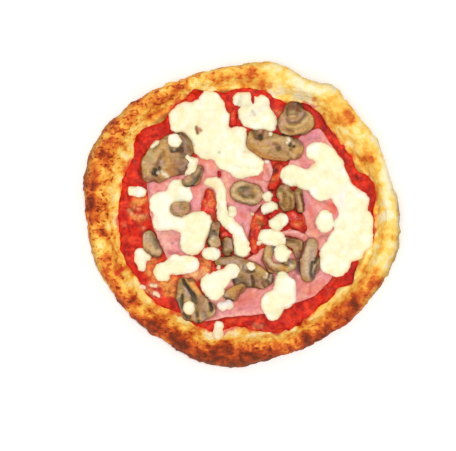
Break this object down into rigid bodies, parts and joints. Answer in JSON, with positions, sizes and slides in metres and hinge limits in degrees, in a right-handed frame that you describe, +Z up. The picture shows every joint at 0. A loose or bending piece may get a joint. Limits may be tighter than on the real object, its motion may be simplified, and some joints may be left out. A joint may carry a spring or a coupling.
{
  "type": "capricciosa pizza",
  "caption": "Round pizza with a puffed, browned rim, topped with tomato sauce, ham, melted mozzarella, mushroom slices, artichoke and tomato; food to slice and serve.",
  "frame": {"origin": "middle of the bounding box's underside, where the flat base rests at z = 0", "axes": "+Z up through the toppings, +X to the picture's right, +Y to the picture's top"},
  "size_m": [0.3176, 0.3048, 0.0223],
  "materials": {
    "dough": "baked dough crust, dry and matte, golden with browned spots",
    "tomato_sauce": "moist red tomato sauce",
    "ham": "moist pink cooked ham",
    "mozzarella": "melted ivory mozzarella, soft sheen",
    "mushroom": "cooked mushroom slices, tan with dark gills",
    "artichoke": "olive-tan artichoke heart",
    "tomato": "wet red tomato flesh"
  },
  "bodies": {
    "root": {"dough": "dough", "tomato_sauce": "tomato_sauce", "ham_left": "ham", "ham_centre": "ham", "ham_right": "ham", "ham_front": "ham", "mozzarella_01": "mozzarella", "mozzarella_02": "mozzarella", "mozzarella_03": "mozzarella", "mozzarella_04": "mozzarella", "mozzarella_05": "mozzarella", "mozzarella_06": "mozzarella", "mozzarella_07": "mozzarella", "mozzarella_08": "mozzarella", "mozzarella_09": "mozzarella", "mozzarella_10": "mozzarella", "mozzarella_11": "mozzarella", "mozzarella_12": "mozzarella", "mozzarella_13": "mozzarella", "mozzarella_14": "mozzarella", "mozzarella_15": "mozzarella", "mozzarella_16": "mozzarella", "mozzarella_17": "mozzarella", "mozzarella_18": "mozzarella", "mozzarella_19": "mozzarella", "mozzarella_20": "mozzarella", "mozzarella_21": "mozzarella", "mozzarella_22": "mozzarella", "mozzarella_23": "mozzarella", "mozzarella_24": "mozzarella", "mozzarella_25": "mozzarella", "mushroom_01": "mushroom", "mushroom_02": "mushroom", "mushroom_03": "mushroom", "mushroom_04": "mushroom", "mushroom_05": "mushroom", "mushroom_06": "mushroom", "mushroom_07": "mushroom", "mushroom_08": "mushroom", "mushroom_09": "mushroom", "mushroom_10": "mushroom", "mushroom_11": "mushroom", "mushroom_12": "mushroom", "mushroom_13": "mushroom", "mushroom_14": "mushroom", "mushroom_15": "mushroom", "artichoke_heart": "artichoke", "tomato_01": "tomato", "tomato_02": "tomato", "tomato_03": "tomato", "tomato_04": "tomato", "tomato_05": "tomato", "tomato_06": "tomato"}
  },
  "joints": []
}
